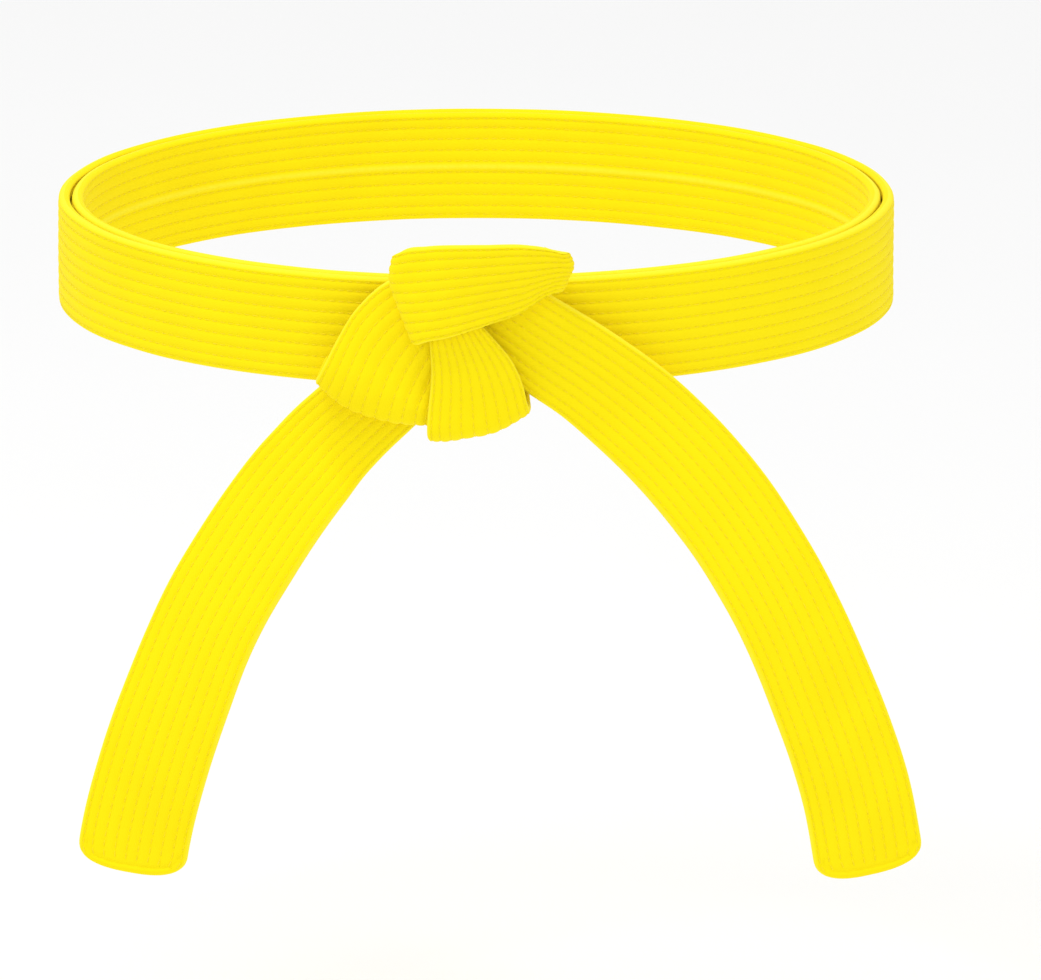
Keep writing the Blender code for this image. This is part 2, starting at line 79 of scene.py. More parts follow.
# The knot. A depth is counted forwards from the loop's outer face. A fold is the radius of a wrap's
# turn, in mm like the wrap's rows.
LEFT_WRAP_FOLD = 2.4
TOP_LEFT_FOLD = 2.6
TOP_RIGHT_FOLD = 3.3
FOLD_STEPS = 4
NO_DROPS = (0.0, 0.0, 0.0, 0.0)
RIGHT_ROOT_DEPTH = 7.35
LEFT_ROOT_DEPTH = 2.45

# The hanging ends.
TAIL_LINKS = 4
HUG_RELEASE = 18.0
TIP_ROUNDING = 10.0
TIP_POWER = 2.6

# Distances from the tip of the stations that round it off
TIP_STATIONS = (
    9.0, 8.0, 7.0, 6.0, 5.2, 4.6, 4.1, 3.7, 3.4, 3.1, 2.8,
    2.4, 2.0, 1.6, 1.2, 0.9, 0.6, 0.38, 0.2, 0.09, 0.03,
)  # fmt: skip

# Rows of stitching, as distances from the strap's middle, and how the cloth sinks between them
STITCH_ROWS = (2.1, 6.3, 10.5, 14.7, 18.1)
ROW_DIP = 0.5
ROW_SHARPNESS = 3
CHANNEL_POINTS = 5

# The rounded selvages, and where a face has points in their rounding
EDGE_ROUNDING = 2.0
EDGE_MARKS = (18.55, 18.95, 19.35, 19.68, 19.9)

# The stitched border round a tip, and the lapped seam along the back
TIP_BORDER = 3.2
BORDER_SPREAD = 0.7
ROWS_FADE = 1.5
SEAM_RISE = 0.32
SEAM_SHAPE = 0.7
SEAM_TIP_FADE = 2.0
SEAM_EDGE_FADE = 3.0

# One stitch of thread: its sections along its length, how far each sinks and how thick each is
STITCH_PITCH = 3.3
STITCH_LENGTH = 2.7
STITCH_SECTIONS = (-1.0, -0.5, 0.5, 1.0)
STITCH_SINKS = (-0.34, 0.0, 0.0, -0.34)
STITCH_SIZES = (0.55, 1.0, 1.0, 0.55)
STITCH_TIP_SPACE = 1.0
THREAD_RADIUS = 0.21
THREAD_LIFT = 0.75
THREAD_SIDES = 5

# Stations along the strap: the usual spacing, the loop's spacing and the most turn between two
STATION_STEP = 1.7
LAP_STEP = 2.4
STATION_TURN = math.radians(14)
FINE_STATIONS = 1201

# How far apart the points are that give a direction: in mm along a line, then as shares of a surface
HEADING_REACH = 0.5
STITCH_HEADING_REACH = 0.4
ALONG_STEP = 0.0008
ACROSS_STEP = 0.03

FOOT_ROUNDS = 6
FAR_FROM_TIP = 1000.0


# ---------------------------------------------------------------- smooth curves through a few points


def chord_knots(points):
    """Running chord length along a list of points."""
    points = np.asarray(points, float)
    steps = np.linalg.norm(np.diff(points, axis=0), axis=1)
    return np.concatenate(([0.0], np.cumsum(steps)))


def slopes_at(knots, values):
    """Slope of the curve at each point, leaning to the nearer neighbour."""
    values = np.asarray(values, float)
    spans = np.diff(knots)
    shape = (-1,) + (1,) * (values.ndim - 1)
    rates = np.diff(values, axis=0) / spans.reshape(shape)
    before = spans[:-1].reshape(shape)
    after = spans[1:].reshape(shape)
    middle = (rates[:-1] * after + rates[1:] * before) / (before + after)
    return np.concatenate((rates[:1], middle, rates[-1:]))


def curve_at(knots, values, places):
    """Cubic curve through values at knots, at every place."""
    knots = np.asarray(knots, float)
    values = np.asarray(values, float)
    slopes = slopes_at(knots, values)
    places = np.asarray(places, float)
    i = np.clip(np.searchsorted(knots, places, side="left") - 1, 0, len(knots) - 2)
    shape = places.shape + (1,) * (values.ndim - 1)
    span = (knots[i + 1] - knots[i]).reshape(shape)
    t = np.clip((places - knots[i]) / (knots[i + 1] - knots[i]), 0.0, 1.0).reshape(shape)
    rise = values[i] * (2 * t**3 - 3 * t**2 + 1) + values[i + 1] * (3 * t**2 - 2 * t**3)
    lean = slopes[i] * (t**3 - 2 * t**2 + t) + slopes[i + 1] * (t**3 - t**2)
    return rise + lean * span


def smooth_step(t):
    t = np.clip(t, 0.0, 1.0)
    return t * t * (3 - 2 * t)


def unit(vectors):
    return vectors / np.linalg.norm(vectors, axis=-1, keepdims=True)


# ---------------------------------------------------------------- places on and round the waist loop


def loop_normal(angle):
    """Outward normal of the loop's oval. Angle 0 is the front and a quarter turn is +X."""
    normal = np.stack(
        (np.sin(angle) / LOOP_HALF_WIDTH, -np.cos(angle) / LOOP_HALF_DEPTH, 0 * angle), -1
    )
    return unit(normal)


def loop_point(angle, depth, z):
    """Points at depth outside the loop's outer face."""
    on_face = np.stack(
        (LOOP_HALF_WIDTH * np.sin(angle), -LOOP_HALF_DEPTH * np.cos(angle), z + 0 * angle), -1
    )
    return on_face + loop_normal(angle) * np.asarray(depth)[..., None]


def front_point(x, depth, z):
    """The points at X = x and depth in front of the loop's outer face."""
    foot = x
    for _ in range(FOOT_ROUNDS):
        angle = np.arcsin(np.clip(foot / LOOP_HALF_WIDTH, -1.0, 1.0))
        foot = x - depth * loop_normal(angle)[..., 0]
    return loop_point(np.arcsin(np.clip(foot / LOOP_HALF_WIDTH, -1.0, 1.0)), depth, z)


# ---------------------------------------------------------------- surfaces: (t, w) to the strap's
# middle plane. t runs from 0 to 1 along the strap and w from -1 to 1 between its selvages.


def lap_surface(depth):
    """One lap of the strap round the waist, split at the front."""
    split = LAP_SPLIT / LOOP_HALF_WIDTH

    def surface(t, w):
        angle = split + t * (2 * math.pi - 2 * split)
        return loop_point(angle, depth + 0 * angle, -w * HALF_WIDTH)

    return surface


def net_surface(rows):
    """The strap through rows of (x, depth, z) points in mm, each row from one selvage to the other."""
    rows = np.array([[list(p) for p in row] for row in rows], float)
    middles = (rows[:, 1] + rows[:, -2]) / 2
    knots = chord_knots(middles)
    steps = np.arange(rows.shape[1], dtype=float)

    def surface(t, w):
        t, w = np.broadcast_arrays(t, w)
        across = curve_at(knots, rows, t.ravel() * knots[-1])
        spots = (w.ravel() + 1) / 2 * steps[-1]
        slopes = slopes_at(steps, across.swapaxes(0, 1)).swapaxes(0, 1)
        i = np.clip(spots.astype(int), 0, len(steps) - 2)
        n = np.arange(len(spots))
        s = (spots - i)[:, None]
        made = (
            across[n, i] * (2 * s**3 - 3 * s**2 + 1)
            + across[n, i + 1] * (3 * s**2 - 2 * s**3)
            + slopes[n, i] * (s**3 - 2 * s**2 + s)
            + slopes[n, i + 1] * (s**3 - s**2)
        )
        made = made.reshape(t.shape + (3,))
        return front_point(made[..., 0], made[..., 1], made[..., 2])

    return surface


def fold_back(row, headings, radius, runs, drops=NO_DROPS):
    """Rows that fold each point of a row back inwards and down by its drop, then run on straight for
    its run in mm. A heading is (x, z), the way its point carries on into the fold."""
    inwards = np.array((0.0, -1.0, 0.0))
    along = unit(np.array([(x, 0.0, z) for x, z in headings]))
    start = np.array(row, float)
    falling = np.array([(0.0, 0.0, drop) for drop in drops])
    rows = []
    for step in range(1, FOLD_STEPS + 1):
        angle = math.pi * step / FOLD_STEPS
        rows.append(
            start
            + along * radius * math.sin(angle)
            + (inwards * radius - falling / 2) * (1 - math.cos(angle))
        )
    rows.append(rows[-1] - along * np.array(runs)[:, None])
    return rows


def rounded_path(corners, radii, steps, shares):
    """Points along straight runs between corners, with an arc of each radius at the inner corners.
    Each arc has steps + 1 points, and each straight run has points at shares of its length."""
    path = [corners[0]]
    for i, radius in enumerate(radii, start=1):
        here = corners[i]
        back = (corners[i - 1] - here).normalized()
        on = (corners[i + 1] - here).normalized()
        half = back.angle(on) / 2
        centre = here + (back + on).normalized() * radius / math.sin(half)
        start = here + back * radius / math.tan(half) - centre
        end = here + on * radius / math.tan(half) - centre
        path += [path[-1].lerp(centre + start, share) for share in shares]
        for step in range(steps + 1):
            path.append(centre + start.slerp(end, step / steps).normalized() * radius)
    path += [path[-1].lerp(corners[-1], share) for share in shares]
    path.append(corners[-1])
    return path


# The top wrap crosses the knot's front and folds back inwards at both ends. Each row goes from the
# lower selvage to the upper one, as x, depth, z. The headings, drops and runs say how each point of
# an end row folds back.
TOP_WRAP_ROWS = (
    ((-18.3, 22.6, 3.0), (-22.6, 22.3, 14.2), (-26.3, 21.6, 25.4), (-25.6, 21.2, 36.8)),
    ((-11.4, 22.8, 4.6), (-14.2, 23.0, 15.4), (-16.5, 22.9, 26.9), (-17.0, 22.1, 38.6)),
    ((2.9, 21.9, 9.2), (2.9, 22.7, 18.9), (2.7, 22.9, 28.9), (2.5, 22.4, 39.3)),
    ((15.9, 18.8, 13.4), (16.6, 20.0, 21.2), (17.2, 20.4, 29.6), (17.6, 20.0, 38.5)),
    ((26.2, 16.0, 19.2), (28.2, 16.4, 24.3), (29.9, 16.4, 29.4), (28.6, 16.6, 35.2)),
)
TOP_LEFT_HEADINGS = ((-0.9, -0.45), (-1.0, -0.1), (-1.0, -0.1), (-0.88, -0.47))
TOP_LEFT_DROPS = (0.0, 0.0, 1.0, 3.0)
TOP_RIGHT_HEADINGS = ((0.95, 0.1), (1.0, 0.05), (1.0, -0.1), (0.92, -0.38))
TOP_RIGHT_DROPS = (0.0, 0.3, 1.0, 2.1)
TOP_LEFT_RUNS = (0.6, 3.0, 4.5, 4.0)
TOP_RIGHT_RUNS = (2.2, 3.0, 4.0, 4.0)


def top_wrap_surface():
    first = TOP_WRAP_ROWS[0]
    final = TOP_WRAP_ROWS[-1]
    left = fold_back(first, TOP_LEFT_HEADINGS, TOP_LEFT_FOLD, TOP_LEFT_RUNS, TOP_LEFT_DROPS)
    right = fold_back(final, TOP_RIGHT_HEADINGS, TOP_RIGHT_FOLD, TOP_RIGHT_RUNS, TOP_RIGHT_DROPS)
    rows = left[::-1] + list(TOP_WRAP_ROWS) + right
    return net_surface([row[::-1] for row in rows])


# The left wrap leaves the knot under the top wrap, runs down to the left, and folds under along its
# bottom edge. Each row goes from the selvage next to the knot's middle to the outer selvage.
LEFT_WRAP_ROWS = (
    ((-1.0, 11.2, 1.4), (-1.0, 11.4, 9.3), (-1.0, 11.4, 16.9), (-1.0, 10.8, 24.2)),
    ((-7.0, 11.5, -3.0), (-11.0, 11.8, 7.0), (-14.0, 11.8, 16.0), (-16.5, 11.0, 24.6)),
    ((-10.5, 11.7, -11.0), (-19.0, 12.3, -1.5), (-25.5, 12.0, 10.5), (-30.3, 10.0, 22.6)),
    ((-13.0, 11.7, -19.5), (-25.0, 12.6, -11.0), (-35.5, 12.3, 0.0), (-42.3, 9.4, 11.4)),
    ((-15.6, 12.2, -27.0), (-30.2, 12.55, -25.8), (-44.8, 12.6, -21.6), (-55.9, 12.4, -13.2)),
)
LEFT_FOLD_HEADINGS = ((-0.1, -1.0), (-0.2, -1.0), (-0.3, -1.0), (-0.45, -1.0))
LEFT_FOLD_RUNS = (6.0, 6.0, 6.0, 6.0)


def left_wrap_surface():
    final = LEFT_WRAP_ROWS[-1]
    fold = fold_back(final, LEFT_FOLD_HEADINGS, LEFT_WRAP_FOLD, LEFT_FOLD_RUNS)
    return net_surface(list(LEFT_WRAP_ROWS) + fold)


# The lower wrap goes right round the waist loop. For each of four lines along the strap: its depth at
# its start and in front, the height of its bottom turn, and its x at its start, half way down the
# front and at the other corners of its path.
LOWER_WRAP_LINES = (
    {
        "start": 17.6,
        "depth": 17.6,
        "bottom": -33.4,
        "x": (-17.0, -15.9, -17.4, -15.5, -13.0, -12.5, -13.0, -13.0),
    },
    {
        "start": 17.6,
        "depth": 17.5,
        "bottom": -32.5,
        "x": (-10.6, -5.9, -5.5, -4.0, -3.0, -2.5, -3.5, -5.0),
    },
    {
        "start": 17.2,
        "depth": 16.5,
        "bottom": -29.2,
        "x": (-4.4, 4.2, 8.6, 9.0, 8.0, 7.5, 6.5, 4.0),
    },
    {
        "start": 16.4,
        "depth": 13.8,
        "bottom": -23.5,
        "x": (1.4, 13.2, 18.6, 19.5, 19.0, 17.5, 15.0, 11.0),
    },
)
LOWER_WRAP_TOP = 29.5
LOWER_WRAP_BACK = -12.4
LOWER_WRAP_BACK_HEIGHT = 22.5
LOWER_WRAP_UNDER_LOOP = 2.0
LOWER_WRAP_SAG = 2.2
LOWER_WRAP_RADII = (3.2, 7.0, 4.0, 4.5, 4.0)
LOWER_WRAP_ENDS = (9.0, 12.0)
RUN_SHARES = (0.15, 0.5, 0.85)


def lower_wrap_line(line):
    """One line of the lower wrap, from under the top wrap, down, round the loop and up to it again."""
    depth = line["depth"]
    bottom = line["bottom"]
    corners = [
        Vector((line["start"], LOWER_WRAP_ENDS[0])),
        Vector((depth, bottom)),
        Vector((LOWER_WRAP_UNDER_LOOP, bottom - LOWER_WRAP_SAG)),
        Vector((LOWER_WRAP_BACK, -LOWER_WRAP_BACK_HEIGHT)),
        Vector((LOWER_WRAP_BACK, LOWER_WRAP_BACK_HEIGHT)),
        Vector((depth, LOWER_WRAP_TOP)),
        Vector((depth, LOWER_WRAP_ENDS[1])),
    ]
    path = rounded_path(corners, LOWER_WRAP_RADII, FOLD_STEPS, RUN_SHARES)
    lengths = chord_knots([list(p) for p in path])
    run = len(RUN_SHARES)
    marks = [0.0, lengths[1 + run // 2]]
    for i in range(len(LOWER_WRAP_RADII)):
        marks.append(lengths[1 + run + i * (FOLD_STEPS + 1 + run) + FOLD_STEPS // 2])
    marks.append(lengths[-1])
    across = curve_at(marks, line["x"], lengths)
    return [(x, p.x, p.y) for x, p in zip(across, path)]


def lower_wrap_surface():
    lines = [lower_wrap_line(line) for line in reversed(LOWER_WRAP_LINES)]
    return net_surface([list(row) for row in zip(*lines)])


# A hanging end from its hidden start in the knot to its tip. Each stop is x, y, z and the strap's
# width, and the tilt in degrees that turns its outer selvage back.
RIGHT_TAIL_STOPS = (
    (6.0, -128.7, 10.5, 32.5, 0.0),
    (11.5, -128.4, 6.6, 33.0, 0.0),
    (23.3, -127.3, -1.9, 34.5, 0.0),
    (42.8, -124.6, -15.9, 35.6, 6.0),
    (64.1, -123.6, -34.6, 38.0, 21.0),
    (88.4, -126.0, -62.2, 40.0, 28.0),
    (108.5, -131.0, -93.8, 40.0, 27.0),
    (124.0, -135.5, -128.0, 40.0, 22.0),
    (136.6, -138.5, -164.8, 40.0, 14.0),
    (142.4, -139.5, -196.4, 40.0, 10.0),
)
LEFT_TAIL_STOPS = (
    (-17.0, -123.1, -4.5, 32.0, 0.0),
    (-31.0, -121.3, -19.3, 33.0, 0.0),
    (-46.3, -118.5, -34.8, 33.6, 4.0),
    (-65.1, -120.5, -55.9, 38.0, 24.0),
    (-81.5, -124.5, -79.2, 40.0, 28.0),
    (-95.8, -130.0, -103.4, 40.0, 26.0),
    (-106.5, -134.0, -129.1, 40.0, 20.0),
    (-116.3, -137.0, -157.7, 40.0, 13.0),
    (-122.8, -138.5, -184.5, 40.0, 10.0),
    (-124.4, -139.0, -195.8, 40.0, 9.0),
)
RIGHT_FIRST_JOINT = 29.7
LEFT_FIRST_JOINT = 45.5


class Tail:
    """A hanging end: the line it follows, its width and tilt, and its joints' places along it."""

    def __init__(self, stops, side, depth, first_joint):
        stops = np.array(stops)
        self.side = side
        self.depth = depth
        self.first_joint = first_joint
        self.points = stops[:, :3]
        self.knots = chord_knots(self.points)
        self.widths = stops[:, 3]
        self.tilts = np.radians(stops[:, 4])
        self.length = self.knots[-1]
        run = (self.length - first_joint) / TAIL_LINKS
        self.joints = [first_joint + run * k for k in range(TAIL_LINKS)]
        self.splits = [0.0] + [joint + run / 2 for joint in self.joints[:-1]] + [self.length]

    def centre(self, place):
        return curve_at(self.knots, self.points, place)

    def heading(self, place):
        """Unit directions of the line at places."""
        low = np.clip(place - HEADING_REACH, 0.0, self.length)
        high = np.clip(place + HEADING_REACH, 0.0, self.length)
        return unit(self.centre(high) - self.centre(low))

    def across(self, place):
        """Unit directions from the inner selvage to the outer one."""
        heading = self.heading(place)
        tilt = curve_at(self.knots, self.tilts, place)[..., None]
        level = unit(np.cross(heading, (0.0, self.side, 0.0)))
        back = unit(np.cross(level, heading)) * self.side
        return level * np.cos(tilt) + back * np.sin(tilt)

    def rounding(self, place):
        """The share of its width that the strap keeps near the tip."""
        from_tip = np.clip((self.length - place) / TIP_ROUNDING, 0.0, 1.0)
        return (1 - (1 - from_tip) ** TIP_POWER) ** (1 / TIP_POWER)

    def surface(self, start, end):
        """The stretch between two places along the tail."""

        def surface(t, w):
            t, w = np.broadcast_arrays(t, w)
            place = (start + (end - start) * t).ravel()
            width = curve_at(self.knots, self.widths, place)
            reach = width / 2 * self.rounding(place) * -w.ravel() * self.side
            flat = self.centre(place) + self.across(place) * reach[:, None]
            hug = 1 - smooth_step((place - self.first_joint) / HUG_RELEASE)
            held = front_point(flat[:, 0], self.depth + 0 * place, flat[:, 2])
            made = flat + (held - flat) * hug[:, None]
            return made.reshape(t.shape + (3,))

        return surface


# ---------------------------------------------------------------- the strap's cross-section


def rows_across():
    """Signed distances of the stitch rows from the strap's middle."""
    return [-y for y in reversed(STITCH_ROWS)] + list(STITCH_ROWS)


def face_marks():
    """Distances across one face where it has points, denser in the rounding at the selvages."""
    rows = rows_across()
    marks = []
    for near, far in zip(rows, rows[1:]):
        marks += [near + (far - near) * i / CHANNEL_POINTS for i in range(CHANNEL_POINTS)]
    marks.append(rows[-1])
    return np.array([-y for y in reversed(EDGE_MARKS)] + marks + list(EDGE_MARKS))


def quilt_dip(y):
    """How far a face sinks at y: nothing in the middle of a channel, and ROW_DIP at a stitch row."""
    rows = np.array([-HALF_WIDTH] + rows_across() + [HALF_WIDTH])
    i = np.clip(np.searchsorted(rows, y) - 1, 0, len(rows) - 2)
    share = (y - rows[i]) / (rows[i + 1] - rows[i])
    valley = np.abs(2 * share - 1) ** ROW_SHARPNESS
    valley = np.where((i == 0) & (share < 0.5), 0.0, valley)
    return np.where((i == len(rows) - 2) & (share > 0.5), 0.0, valley) * ROW_DIP


def seam_rise(y):
    """The folded edge that laps over the back seam, between the two middle rows."""
    fade = np.clip(1 - y / STITCH_ROWS[0], 0.0, 1.0)
    return SEAM_RISE * np.where(y < 0, 0.0, fade**SEAM_SHAPE)


def edge_distance(y, from_tip):
    """Distance from the strap's outline, to first order. from_tip is how far back from the tip."""
    reach = np.clip(1 - from_tip / TIP_ROUNDING, 0.0, 1.0)
    gauge = (reach**TIP_POWER + np.abs(y / HALF_WIDTH) ** TIP_POWER) ** (1 / TIP_POWER)
    gauge = np.maximum(gauge, 1e-4)
    slope = gauge ** (1 - TIP_POWER)
    steep = np.hypot(
        slope * reach ** (TIP_POWER - 1) / TIP_ROUNDING,
        slope * np.abs(y / HALF_WIDTH) ** (TIP_POWER - 1) / HALF_WIDTH,
    )
    return np.maximum(0.0, 1 - gauge) / np.maximum(steep, 1e-4)


def half_thickness(y, from_tip, back):
    """Height of a face above the middle plane."""
    edge = edge_distance(y, from_tip)
    shape = 1 - np.clip(edge / EDGE_ROUNDING, 0.0, 1.0)
    height = HALF_THICKNESS * np.sqrt(np.clip(1 - shape**2, 0.0, 1.0))
    fade = smooth_step((from_tip - TIP_BORDER) / ROWS_FADE)
    border = np.exp(-(((edge - TIP_BORDER) / BORDER_SPREAD) ** 2)) * (from_tip < TIP_ROUNDING)
    dip = np.maximum(quilt_dip(y) * fade, border * ROW_DIP)
    if not back:
        return height - dip
    rise = seam_rise(y) * smooth_step((from_tip - TIP_BORDER) / SEAM_TIP_FADE)
    return height - dip + rise - SEAM_RISE * smooth_step(edge / SEAM_EDGE_FADE)


# ---------------------------------------------------------------- meshes


class Stretch:
    """A stretch of strap sampled along its length: its surface, its stations, their distances from
    the tip, the share of its width it keeps at each, and its creases."""

    def __init__(self, surface, stations, from_tip=None, rounding=None, crease=None, start=0.0):
        self.surface = surface
        self.stations = stations
        count = len(stations)
        self.from_tip = np.full(count, FAR_FROM_TIP) if from_tip is None else from_tip
        self.rounding = np.ones(count) if rounding is None else rounding
        self.crease = crease
        middle = surface(stations, 0 * stations)
        self.lengths = start + chord_knots(middle)

    def net(self, marks):
        """Points and outward normals of the middle plane at every station and mark across."""
        t, y = np.meshgrid(self.stations, marks, indexing="ij")
        w = y / HALF_WIDTH
        points = self.surface(t, w)
        near = self.surface(np.clip(t - ALONG_STEP, 0.0, 1.0), w)
        along = self.surface(np.clip(t + ALONG_STEP, 0.0, 1.0), w) - near
        inner = self.surface(t, np.maximum(w - ACROSS_STEP, -1.0))
        side = self.surface(t, np.minimum(w + ACROSS_STEP, 1.0)) - inner
        normals = unit(np.cross(side, along))
        if self.crease is not None:
            points = points + normals * self.crease(self.lengths[:, None], y)[..., None]
        return points, normals

    def face_height(self, marks, back):
        """Height of a face at every station and mark. Near the tip the marks draw together."""
        y = np.asarray(marks)[None, :] * self.rounding[:, None]
        return half_thickness(y, self.from_tip[:, None] + 0 * y, back)


def mesh_object(name, verts, faces, material, strap_map=None):
    """A smooth object from arrays in mm. strap_map holds distances along and across the strap."""
    data = bpy.data.meshes.new(name)
    data.from_pydata((verts * MM).tolist(), [], faces)
    if strap_map is not None:
        layer = data.uv_layers.new(name="strap")
        loops = np.zeros(len(data.loops), dtype=np.int32)
        data.loops.foreach_get("vertex_index", loops)
        layer.data.foreach_set("uv", strap_map[loops].astype(np.float32).ravel())
    data.materials.append(material)
    data.shade_smooth()
    data.update()
    item = bpy.data.objects.new(name, data)
    bpy.context.scene.collection.objects.link(item)
    return item


def strap_mesh(name, stretch, material):
    """The quilted cover of one stretch, closed at both ends."""
    marks = face_marks()
    points, normals = stretch.net(marks)
    front = points + normals * stretch.face_height(marks, False)[..., None]
    back = points - normals * stretch.face_height(marks, True)[..., None]
    rims = stretch.net(np.array([-HALF_WIDTH, HALF_WIDTH]))[0]
    ring = np.concatenate((rims[:, :1], front, rims[:, 1:], back[:, ::-1]), axis=1)
    count = ring.shape[1]
    stations = ring.shape[0]
    verts = ring.reshape(-1, 3)
    back_across = marks[::-1] + 3 * HALF_WIDTH
    across = np.concatenate(([-HALF_WIDTH], marks, [HALF_WIDTH], back_across))
    strap_map = np.stack(
        np.broadcast_arrays(stretch.lengths[:, None] * MM, across[None, :] * MM), axis=-1
    ).reshape(-1, 2)
    i, j = np.meshgrid(np.arange(stations - 1), np.arange(count), indexing="ij")
    nxt = (j + 1) % count
    quads = np.stack(
        (i * count + j, i * count + nxt, (i + 1) * count + nxt, (i + 1) * count + j), axis=-1
    ).reshape(-1, 4)
    faces = quads.tolist()
    faces.append(list(range(count))[::-1])
    faces.append([(stations - 1) * count + k for k in range(count)])
    item = mesh_object(name, verts, faces, material, strap_map)
    mark_caps_sharp(item, len(faces) - 2)
    return item


def mark_caps_sharp(item, first_cap):
    """Keeps the shading of the two end caps apart from the faces round them."""
    data = item.data
    caps = {
        tuple(sorted(pair))
        for cap in range(first_cap, first_cap + 2)
        for pair in data.polygons[cap].edge_keys
    }
    sharp = data.attributes.new("sharp_edge", "BOOLEAN", "EDGE")
    keys = [tuple(sorted(edge.vertices)) for edge in data.edges]
    sharp.data.foreach_set("value", [key in caps for key in keys])


def along_line(places, lengths, values):
    """Values of a line at places along it."""
    return np.stack([np.interp(places, lengths, values[:, axis]) for axis in range(3)], axis=-1)


def row_of_stitches(line, outwards, run):
    """Points of the stitches along one row that is run long, as sections of THREAD_SIDES points."""
    count = int(run / STITCH_PITCH)
    if count < 1:
        return None
    lengths = chord_knots(line)
    centres = (np.arange(count) + 0.5) * run / count
    places = centres[:, None] + np.array(STITCH_SECTIONS)[None, :] * STITCH_LENGTH / 2
    places = places.ravel()
    up = unit(along_line(places, lengths, outwards))
    ahead = along_line(places + STITCH_HEADING_REACH, lengths, line) - along_line(
        places - STITCH_HEADING_REACH, lengths, line
    )
    right = unit(np.cross(unit(ahead), up))
    sink = np.tile(STITCH_SINKS, count)[:, None]
    size = np.tile(STITCH_SIZES, count)[:, None, None] * THREAD_RADIUS
    middle = along_line(places, lengths, line) + up * (sink + THREAD_RADIUS * THREAD_LIFT)
    turns = np.arange(THREAD_SIDES) * 2 * math.pi / THREAD_SIDES + math.pi / 2
    sideways = np.cos(turns)[None, :, None] * right[:, None, :]
    upwards = np.sin(turns)[None, :, None] * up[:, None, :]
    return (middle[:, None, :] + size * (sideways + upwards)).reshape(-1, 3)


def stitch_faces(stitches):
    """Faces of that many stitches: the sides between their sections, then their two ends."""
    sections = len(STITCH_SECTIONS)
    base = np.arange(stitches)[:, None] * sections * THREAD_SIDES
    around = np.arange(THREAD_SIDES)
    faces = []
    for section in range(sections - 1):
        here = section * THREAD_SIDES
        there = here + THREAD_SIDES
        for k in range(THREAD_SIDES):
            n = (k + 1) % THREAD_SIDES
            quad = np.array((here + k, here + n, there + n, there + k))
            faces += (base + quad[None, :]).tolist()
    faces += (base + around[::-1][None, :]).tolist()
    faces += (base + ((sections - 1) * THREAD_SIDES + around)[None, :]).tolist()
    return faces


def stitch_mesh(name, stretch, sides, material, tip_rows=False):
    """The thread of every stitch on the faces in sides, 1 for the front and -1 for the back."""
    rows = np.array(rows_across())
    points, normals = stretch.net(rows)
    made = []
    for side in sides:
        heights = stretch.face_height(rows, side < 0)
        for k in range(len(rows)):
            line = points[:, k] + normals[:, k] * side * heights[:, k, None]
            lengths = chord_knots(line)
            if tip_rows:
                lengths = lengths[stretch.from_tip > TIP_BORDER + STITCH_TIP_SPACE]
            stitches = row_of_stitches(line, normals[:, k] * side, lengths[-1])
            if stitches is not None:
                made.append(stitches)
    verts = np.concatenate(made)
    count = len(verts) // (len(STITCH_SECTIONS) * THREAD_SIDES)
    return mesh_object(name, verts, stitch_faces(count), material)


# ---------------------------------------------------------------- materials


def set_input(shader, name, value):
    shader.inputs[name].default_value = value


class Nodes:
    """Short calls that add nodes to a material and join them."""

    def __init__(self, name):
        self.material = bpy.data.materials.new(name)
        self.material.use_nodes = True
        self.tree = self.material.node_tree
        self.shader = self.tree.nodes["Principled BSDF"]

    def add(self, kind, **settings):
        node = self.tree.nodes.new(kind)
        for key, value in settings.items():
            setattr(node, key, value)
        return node

    def link(self, source, target):
        self.tree.links.new(source, target)

    def maths(self, operation, a, b=0.0, clamp=False):
        node = self.add("ShaderNodeMath", operation=operation, use_clamp=clamp)
        for socket, value in zip(node.inputs, (a, b)):
            if isinstance(value, (int, float)):
                socket.default_value = value
            else:
                self.link(value, socket)
        return node.outputs[0]

    def noise(self, vector, scale, detail):
        node = self.add("ShaderNodeTexNoise")
        set_input(node, "Scale", scale)
        set_input(node, "Detail", detail)
        self.link(vector, node.inputs["Vector"])
        return node.outputs[0]

    def mix(self, factor, a, b):
        """The colour at factor of the way from a to b."""
        node = self.add("ShaderNodeMix", data_type="RGBA")
        self.link(factor, node.inputs[0])
        for socket, value in ((node.inputs[6], a), (node.inputs[7], b)):
            if isinstance(value, tuple):
                socket.default_value = value
            else:
                self.link(value, socket)
        return node.outputs[2]

    def spread(self, value, low, high):
        """A value from 0 to 1 spread between low and high."""
        node = self.add("ShaderNodeMapRange", clamp=True)
        self.link(value, node.inputs[0])
        set_input(node, "To Min", low)
        set_input(node, "To Max", high)
        return node.outputs[0]

    def wave(self, value):
        return self.maths("SINE", value)

    def bump(self, height, strength, distance):
        """Lets height in the shader's normal."""
        node = self.add("ShaderNodeBump")
        set_input(node, "Strength", strength)
        set_input(node, "Distance", distance)
        self.link(height, node.inputs["Height"])
        self.link(node.outputs[0], self.shader.inputs["Normal"])


YELLOW = (1.0, 0.84, 0.0, 1.0)
# YELLOW_DEEP is both the uneven dye's deeper tone and the painted shade between the twill's ribs.
YELLOW_DEEP = (0.94, 0.73, 0.0, 1.0)
YELLOW_WORN = (1.0, 0.90, 0.05, 1.0)
THREAD_YELLOW = (1.0, 0.82, 0.0, 1.0)
SHEEN_YELLOW = (1.0, 0.90, 0.30, 1.0)
FLOOR_WHITE = (0.95, 0.95, 0.95, 1.0)
FLOOR_GREY = (0.93, 0.93, 0.93, 1.0)

# The weave: the twill's pitch in metres, its slant along and across the strap, and the weft's rate
TWILL_PITCH = 0.00075
TWILL_ALONG = 0.55
TWILL_ACROSS = 0.84
WEFT_RATE = 1.9

